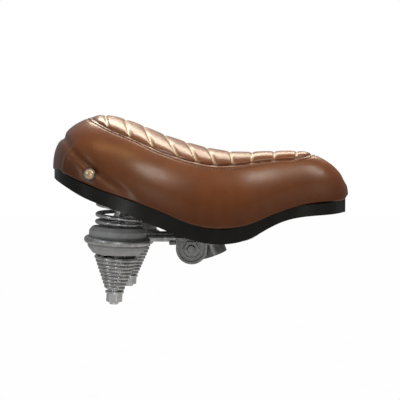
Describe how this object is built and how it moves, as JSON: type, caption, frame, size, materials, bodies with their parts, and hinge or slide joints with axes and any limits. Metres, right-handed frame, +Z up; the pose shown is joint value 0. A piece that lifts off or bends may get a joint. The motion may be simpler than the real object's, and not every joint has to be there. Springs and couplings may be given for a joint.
{
  "type": "sprung bicycle saddle",
  "caption": "Wide padded bicycle saddle with a ribbed glossy brown cover, plastic base skirt, sprung rear posts, wire rails and a loop clamp.",
  "frame": {"origin": "centre of the seat-post clamp bore", "axes": "+X forward to the nose, +Y to the rider's left, +Z up with the rails level"},
  "size_m": [0.287, 0.2254, 0.1756],
  "materials": {
    "cover_leather": "semi-gloss",
    "base_plastic": "satin",
    "foam": "matte",
    "zinc_steel": "satin",
    "rail_steel": "satin",
    "spring_steel": "satin",
    "bumper_rubber": "matte",
    "stud_metal": "polished"
  },
  "bodies": {
    "post_clamp": {"post_band": "zinc_steel", "serrated_discs": "zinc_steel"},
    "rail_clamp": {"inner_cheek_left": "zinc_steel", "inner_cheek_right": "zinc_steel", "outer_cheek_left": "zinc_steel", "outer_cheek_right": "zinc_steel", "clamp_bolt": "zinc_steel", "clamp_nut_left": "zinc_steel", "clamp_nut_right": "zinc_steel", "clamp_washer_left": "zinc_steel", "clamp_washer_right": "zinc_steel"},
    "rail_frame": {"rail_left": "rail_steel", "rail_right": "rail_steel", "upper_bumper_left": "bumper_rubber", "upper_bumper_right": "bumper_rubber", "lower_bumper_left": "bumper_rubber", "lower_bumper_right": "bumper_rubber", "upper_spring_left": "spring_steel", "upper_spring_right": "spring_steel", "cone_spring_left": "spring_steel", "cone_spring_right": "spring_steel"},
    "seat_top": {"base_shell": "base_plastic", "foam_pad": "foam", "cover_top_panel": "cover_leather", "cover_side_left": "cover_leather", "cover_side_right": "cover_leather", "cover_rear_roll": "cover_leather", "cover_studs": "stud_metal", "spring_bridge": "zinc_steel", "bridge_screws": "zinc_steel", "nose_bracket": "zinc_steel", "nose_rivets": "zinc_steel", "spring_bolt_left": "zinc_steel", "spring_bolt_right": "zinc_steel", "spring_nut_left": "zinc_steel", "spring_nut_right": "zinc_steel", "spring_washer_left": "zinc_steel", "spring_washer_right": "zinc_steel"}
  },
  "joints": [
    {"name": "saddle_tilt", "type": "hinge", "parent": "post_clamp", "child": "rail_clamp", "pos_m": [-0.01597, 0, -0.00581], "axis": [0, 1, 0], "range_deg": [-12, 12]},
    {"name": "rail_slide", "type": "slide", "parent": "rail_clamp", "child": "rail_frame", "axis": [1, 0, 0], "range_m": [-0.012, 0.012]},
    {"name": "seat_suspension", "type": "hinge", "parent": "rail_frame", "child": "seat_top", "pos_m": [0.112, 0, 0.032], "axis": [0, -1, 0], "range_deg": [0, 4.4], "stiffness_Nm_per_rad": 1083, "deforming": ["upper_spring_left", "upper_spring_right", "cone_spring_left", "cone_spring_right"]}
  ]
}
